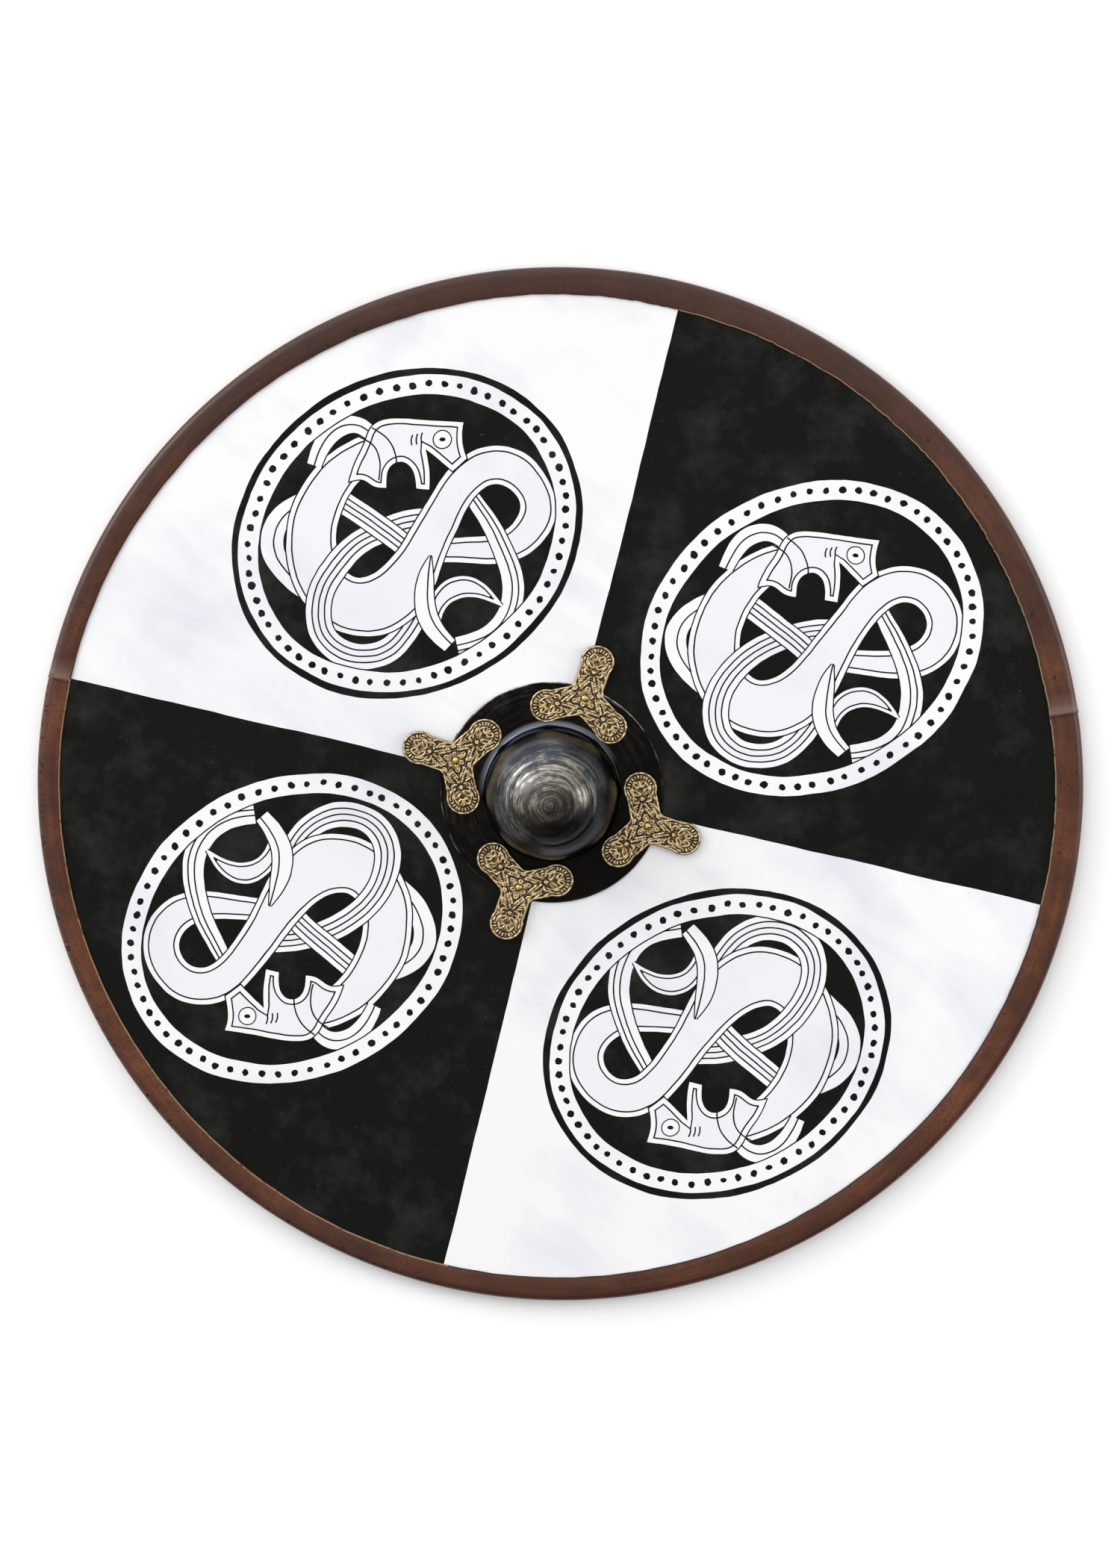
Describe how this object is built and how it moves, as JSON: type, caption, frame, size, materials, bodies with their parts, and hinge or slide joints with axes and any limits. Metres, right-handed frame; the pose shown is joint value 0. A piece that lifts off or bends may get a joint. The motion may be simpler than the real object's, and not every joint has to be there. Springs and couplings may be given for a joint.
{
  "type": "round shield",
  "caption": "Round wooden shield with a leather-bound edge, a domed steel boss over a hand grip, knotwork brass mounts and a painted black and white face.",
  "frame": {"origin": "centre of the leather band's back face, on the surface that the shield lies on", "axes": "+Z out of the painted face through the boss, +Y towards the top of the painting, +X to its right"},
  "size_m": [0.9, 0.9, 0.085],
  "materials": {
    "painted_wood": "hand painted white and black, satin, over a bare wooden back",
    "leather": "dark brown, smooth, lightly waxed, with pale raw edges",
    "black_steel": "blackened, worn back to grey in rings on the dome",
    "brass": "cast, bright on the strands and dark in the hollows",
    "bare_wood": "planed and oiled",
    "iron": "dark forged"
  },
  "bodies": {
    "root": {"board": "painted_wood", "rim_strip_upper": "leather", "rim_strip_lower": "leather", "boss": "black_steel", "mount_1": "brass", "mount_2": "brass", "mount_3": "brass", "mount_4": "brass", "mount_nail_1": "brass", "mount_nail_2": "brass", "mount_nail_3": "brass", "mount_nail_4": "brass", "rove_1": "iron", "rove_2": "iron", "rove_3": "iron", "rove_4": "iron", "grip": "bare_wood", "grip_nail_1": "iron", "grip_nail_2": "iron", "grip_nail_3": "iron", "grip_nail_4": "iron"}
  },
  "joints": []
}
